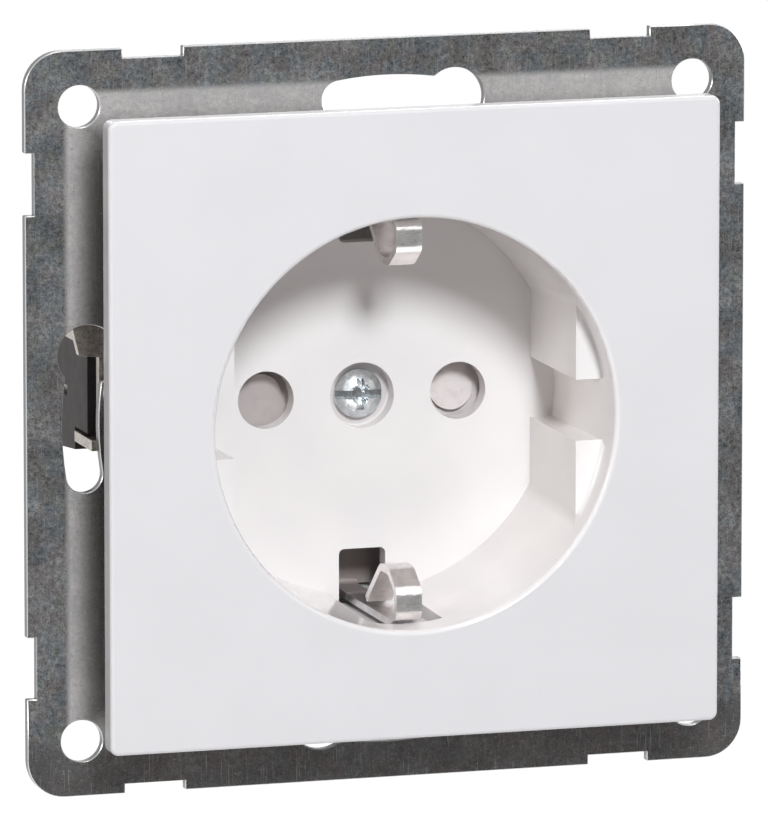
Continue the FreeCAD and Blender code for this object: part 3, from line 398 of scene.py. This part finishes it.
# The left tone is painted shade, and the right tone is painted light.
shutter_plastic = smudged_moulding_with_painted_light("shutter_plastic", left=(0.46, 0.405, 0.395), right=(0.64, 0.585, 0.57))
eased(shutter_plastic, 0.12 * MM, ["shutter"], "shutter_rotor")
eased(shutter_plastic, 0.15 * MM, ["shutter_retainer"])
spring_steel = struck_metal(
    "spring_steel", dark=(0.3, 0.3, 0.3), light=(0.5, 0.5, 0.5), polish=0.3, size=1.0 * MM,
)
eased(spring_steel, 0.05 * MM, ["shutter_spring"])


# Earth strap: one spring strip with a bright nickel plate, bent to run behind the floor of the well
# and folded at each end into a clip that stands in the well.
BEHIND_FLOOR = (7.5 * MM, 9.0 * MM)


def plated_strip(name, dark, light, painted_light_behind, painted_shade_behind):
    """Bright plate with soft clouds, small dents and a few drawn lines. Behind the floor it is
    unpolished, and painted: paler in the upper half as painted light, darker in the lower half as painted
    shade."""
    finish = Finish(name)
    cloud = finish.grain(1.4 * MM, detail=4.0)
    dent = finish.grain(0.55 * MM, detail=3.0, seed=14.0)
    lines = finish.grain(DRAWN_LINE, stretch=(7, 1, 1), detail=2.0, seed=5.0)
    tone = (cloud * 0.75 + lines * 0.25).above(0.3, 0.7)
    behind = finish.axis("Y").above(*BEHIND_FLOOR)
    upper = finish.axis("Z").above(*MIDLINE)
    # Behind the floor: painted light on the upper half, painted shade on the lower half.
    painted_behind = finish.mix(upper, painted_shade_behind, painted_light_behind)
    return finish.surface({
        "Base Color": finish.mix(behind, finish.mix(tone, dark, light), painted_behind),
        "Metallic": 1.0 - behind * (0.6 + upper * 0.35),
        "Roughness": lines.about(0.3, 0.15) + behind * 0.3,
        "Normal": finish.bump(lines * 0.03 + dent * 0.97, 0.032 * MM),
    })


# Behind the floor the strip is painted: a pale tone above as painted light, a dark tone below as painted
# shade.
nickel = plated_strip(
    "nickel_strip", dark=(0.74, 0.71, 0.7), light=(0.92, 0.89, 0.88), painted_light_behind=(0.9, 0.87, 0.85),
    painted_shade_behind=(0.3, 0.258, 0.247),
)
eased(nickel, 0.07 * MM, ["earth_strap"])


# Centre plate: the white face and the plug well in one glossy moulding, held by the cover screw.
# The face is a touch cooler than the well. The well is also painted paler as painted light, and
# the seat of the screw is painted greyer as painted shade.
GLOSS_SKIN = 0.3 * MM
# Spans of the well, painted paler as painted light, and of the screw's seat, painted shade.
WELL_REACH = (19.2 * MM, 20.2 * MM)
SEAT_SHADE_REACH = (3.2 * MM, 2.9 * MM)


def white_moulding(name, face, well, seat_shade):
    """Glossy plastic with a faint cloud, coloured by the distance from the axis of the well: painted
    shade round the screw, a warmer colour in the well painted paler as painted light, and the face's
    colour outside."""
    finish = Finish(name)
    cloud = finish.grain(PLASTIC_CLOUD, detail=2.0)
    skin = finish.grain(GLOSS_SKIN, detail=2.0, seed=3.0)
    across = finish.axis("X")
    upward = finish.axis("Z")
    reach = (across * across + upward * upward).root()
    # The well is painted paler than the face as painted light.
    colour = finish.mix(reach.above(*WELL_REACH), well, face)
    # Painted shade in the seat of the screw.
    colour = finish.mix(reach.above(*SEAT_SHADE_REACH), colour, seat_shade)
    shade = tuple(0.9 * part for part in face)
    return finish.surface({
        "Base Color": finish.mix(cloud.above(0.3, 0.7) * 0.2, colour, shade),
        "Roughness": skin.about(0.13, 0.06),
        "Normal": finish.bump(skin, 0.0012 * MM),
    })


# The well's tone is painted paler as painted light, and the seat's tone is painted shade.
white_plastic = white_moulding(
    "white_plastic", face=(0.69, 0.667, 0.676), well=(0.8, 0.765, 0.75), seat_shade=(0.62, 0.575, 0.565),
)
eased(white_plastic, 0.22 * MM, ["centre_plate"])


# Cover screw: a slot-and-cross screw with a low dome, bright zinc on steel. It sits in the middle
# of the well's floor and holds the plate.
eased(bright_zinc, 0.05 * MM, ["cover_screw"])


# Stage: pale floor under the hanging socket and five softboxes: the main one high in front, a
# steeper one, low ones at the sides and one behind. The studio shows white in view and in gloss,
# apart from a grey card in front that only gloss shows.
FLOOR_DROP = 300 * MM
FLOOR_HALF = 3.0
FLOOR_PAINT = (0.6, 0.6, 0.6)
FLOOR_GLOW = 0.94
STUDIO_FILL = 0.02
LAMP_DISTANCE = 1.0
FLAG_DISTANCE = 0.6
FLAG_HALF = 0.26
FLAG_GREY = 0.2
WHITE = (1, 1, 1)
BLACK = (0, 0, 0)


def seen_plainly(shading):
    """1 where the camera, a reflection or a see-through surface looks, else 0."""
    camera_ray = shading.node("ShaderNodeLightPath", {}, {}, "Is Camera Ray")
    glossy_ray = shading.node("ShaderNodeLightPath", {}, {}, "Is Glossy Ray")
    clear_ray = shading.node("ShaderNodeLightPath", {}, {}, "Is Transmission Ray")
    return camera_ray.larger(glossy_ray).larger(clear_ray)


def card(name, half, level, material):
    """A flat square of twice the half, about the origin and at a level."""
    corners = [(-half, -half, level), (half, -half, level), (half, half, level), (-half, half, level)]
    mesh = bpy.data.meshes.new(name)
    mesh.from_pydata(corners, [], [(0, 1, 2, 3)])
    mesh.materials.append(material)
    flat = bpy.data.objects.new(name, mesh)
    bpy.context.scene.collection.objects.link(flat)
    return flat


paint = Finish("floor_paint")
paint.surface({"Base Color": FLOOR_PAINT, "Roughness": 0.8})
glow = paint.node("ShaderNodeEmission", {}, {"Strength": seen_plainly(paint) * FLOOR_GLOW})
lit_paint = Wire(paint, paint.shader.outputs[0])
glowing_paint = paint.node("ShaderNodeAddShader", {}, {0: lit_paint, 1: glow})
paint.put(paint.tree.nodes["Material Output"].inputs["Surface"], glowing_paint)
floor = card("floor", FLOOR_HALF, cad_box[0][2] - FLOOR_DROP, paint.material)

world = bpy.data.worlds.new("studio")
bpy.context.scene.world = world
world.use_nodes = True
studio = Shading(world.node_tree)
fill = {"Value": seen_plainly(studio), "To Min": STUDIO_FILL, "To Max": 1.0}
background = studio.tree.nodes["Background"]
studio.put(background.inputs["Color"], WHITE)
studio.put(background.inputs["Strength"], studio.node("ShaderNodeMapRange", {}, fill))


def outward(left, rise):
    """The way out from the socket, so many degrees left of its front and above the level."""
    turn = math.radians(left)
    lift = math.radians(rise)
    return Vector((-math.sin(turn) * math.cos(lift), -math.cos(turn) * math.cos(lift), math.sin(lift)))


def looking_back(place, way):
    """The matrix that stands a thing at a place with its Z axis along the way out from the socket."""
    return Matrix.Translation(place) @ way.to_track_quat("Z", "Y").to_matrix().to_4x4()


def softbox(name, left, rise, across, watts, colour=WHITE):
    """A round lamp that faces the socket, so many degrees left of its front and above the level."""
    lamp = bpy.data.lights.new(name, "AREA")
    lamp.shape = "DISK"
    lamp.size = across
    lamp.energy = watts
    lamp.color = colour
    stand = bpy.data.objects.new(name, lamp)
    bpy.context.scene.collection.objects.link(stand)
    way = outward(left, rise)
    stand.matrix_world = looking_back(way * LAMP_DISTANCE, way)


softbox("main_softbox", left=2.5, rise=31.2, across=0.22, watts=9.5, colour=(0.93, 0.965, 1))
softbox("top_softbox", left=0.0, rise=68.0, across=0.3, watts=1.8, colour=(1, 0.96, 0.92))
softbox("left_softbox", left=64.0, rise=12.0, across=0.3, watts=2.7, colour=(1, 0.97, 0.95))
softbox("right_softbox", left=-96.0, rise=15.0, across=0.4, watts=2.6)
softbox("back_softbox", left=205.0, rise=35.0, across=0.5, watts=7.0)

cloth = Finish("flag_cloth")
cloth.surface({
    "Base Color": BLACK, "Specular IOR Level": 0, "Emission Color": WHITE, "Emission Strength": FLAG_GREY,
})
flag = card("flag", FLAG_HALF, 0, cloth.material)
flag_way = outward(left=-17.2, rise=-9.7)
flag.matrix_world = looking_back(flag_way * FLAG_DISTANCE, flag_way)
flag.visible_camera = False
flag.visible_diffuse = False
flag.visible_transmission = False
flag.visible_shadow = False


# Camera: left of the socket and a little above it, far off with a long lens. The focal length is
# given in pixels of the picture's width.
DISTANCE = 1.0616
FOCAL_PIXELS = 11347.3
IMAGE_WIDTH = 768
SENSOR = 36.0
target = Vector((-1.63, -5.0, 0.678)) * MM
camera_way = outward(left=17.193, rise=9.724)
camera_data = bpy.data.cameras.new("camera")
camera_data.sensor_fit = "HORIZONTAL"
camera_data.sensor_width = SENSOR
camera_data.lens = FOCAL_PIXELS / IMAGE_WIDTH * SENSOR
camera_data.clip_start = 0.01
camera = bpy.data.objects.new("camera", camera_data)
bpy.context.scene.collection.objects.link(camera)
camera.matrix_world = looking_back(target + camera_way * DISTANCE, camera_way)
bpy.context.scene.camera = camera
bpy.context.scene.view_settings.view_transform = "Standard"
